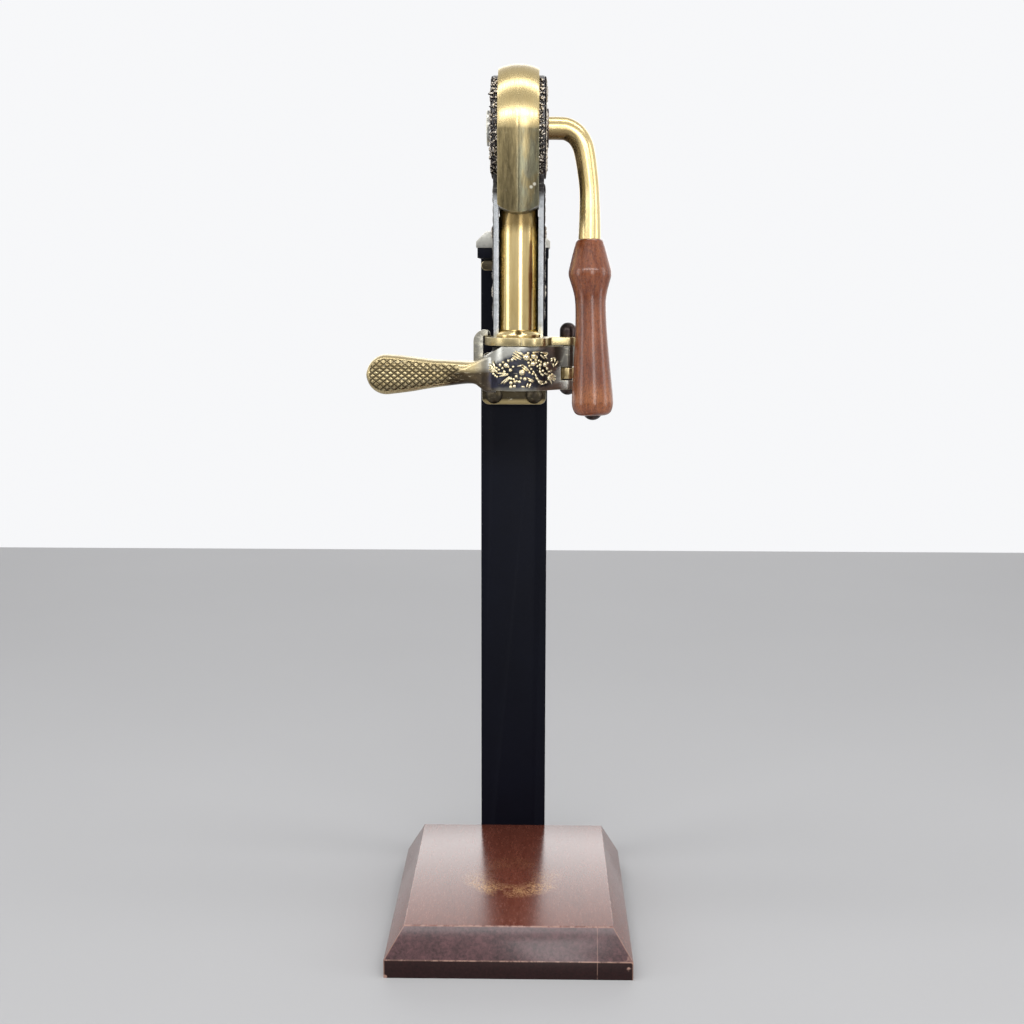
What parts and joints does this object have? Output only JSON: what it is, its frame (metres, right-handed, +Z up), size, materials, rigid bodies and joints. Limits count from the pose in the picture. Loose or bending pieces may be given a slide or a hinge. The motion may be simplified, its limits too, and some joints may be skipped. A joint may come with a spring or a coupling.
{
  "type": "counter mount corkscrew",
  "caption": "Lever corkscrew on a bevelled wooden board: a flat post with a ledge holds a round gear case, barrel and worm, hinged neck jaws with handles, and a wood grip lever.",
  "frame": {"origin": "centre of the board's underside, on the surface it stands on", "axes": "+Z up, +Y toward the post behind the board, +X toward the lever's side"},
  "size_m": [0.1678, 0.1894, 0.5503],
  "materials": {
    "mahogany": "stained reddish brown, satin varnish",
    "black_powder_coat": "fine black powder coat",
    "antique_nickel": "pale antiqued plating, darker in recesses",
    "brushed_brass": "brushed",
    "polished_brass": "polished",
    "antique_brass": "antiqued, darker in recesses",
    "dark_bronze": "darkened",
    "plain_steel": "plain",
    "black_rubber": "matte"
  },
  "bodies": {
    "stand": {"wooden_base": "mahogany", "post_bar": "black_powder_coat", "base_screws": "plain_steel", "frame_casting": "antique_nickel", "clamp_pad": "black_rubber", "clamp_plate": "antique_nickel", "clamp_screw": "plain_steel", "flange_screws": "antique_brass", "side_frame_left": "antique_nickel", "side_frame_right": "antique_nickel", "frame_screws": "plain_steel", "gear_case_left": "brushed_brass", "gear_case_right": "brushed_brass", "barrel_tube": "polished_brass", "barrel_collar": "polished_brass", "jaw_plate": "brushed_brass", "plate_screws": "plain_steel", "pivot_bushes": "antique_brass", "spindle_nut": "antique_brass", "worm_guide": "antique_brass", "hinge_pin": "dark_bronze", "hinge_nut": "dark_bronze"},
    "lever": {"lever_arm": "brushed_brass", "hub_washer": "dark_bronze", "pivot_shaft": "plain_steel", "drive_gear": "plain_steel", "gear_key": "plain_steel", "pivot_cap": "antique_nickel", "lever_handle": "mahogany", "handle_nut": "dark_bronze"},
    "layshaft": {"lay_shaft": "plain_steel", "lay_wheel": "plain_steel", "lay_pinion": "plain_steel"},
    "rack_carriage": {"carriage": "antique_brass", "gear_rack": "plain_steel", "rack_screws": "plain_steel"},
    "spindle": {"worm_spindle": "plain_steel", "spindle_ring": "plain_steel", "worm": "plain_steel"},
    "front_clamp": {"front_jaw": "antique_brass", "front_liner": "black_rubber"},
    "rear_clamp": {"rear_jaw": "antique_brass", "rear_liner": "black_rubber"}
  },
  "joints": [
    {"name": "lever_swing", "type": "hinge", "parent": "stand", "child": "lever", "pos_m": [0.004, -0.011, 0.5126], "axis": [-1, 0, 0], "range_deg": [0, 180]},
    {"name": "layshaft_turn", "type": "hinge", "parent": "stand", "child": "layshaft", "pos_m": [0.004, 0.01013, 0.48053], "axis": [1, 0, 0], "range_deg": [0, 396.1]},
    {"name": "carriage_drop", "type": "slide", "parent": "stand", "child": "rack_carriage", "axis": [0, 0, -1], "range_m": [0, 0.05617]},
    {"name": "worm_turn", "type": "hinge", "parent": "rack_carriage", "child": "spindle", "pos_m": [0.004, 0, 0.513], "axis": [0, 0, -1], "range_deg": [0, 2128.5]},
    {"name": "front_jaw_swing", "type": "hinge", "parent": "stand", "child": "front_clamp", "pos_m": [0.0353, 0.003, 0.3668], "axis": [0, 0, 1], "range_deg": [0, 18]},
    {"name": "rear_jaw_swing", "type": "hinge", "parent": "stand", "child": "rear_clamp", "pos_m": [0.0353, 0.003, 0.3668], "axis": [0, 0, -1], "range_deg": [0, 12]}
  ],
  "couplings": [
    {"joint": "layshaft_turn", "follows": "lever_swing", "ratio": 2.2},
    {"joint": "carriage_drop", "follows": "lever_swing", "m_per_rad": 0.017875},
    {"joint": "worm_turn", "follows": "lever_swing", "ratio": 11.822}
  ]
}
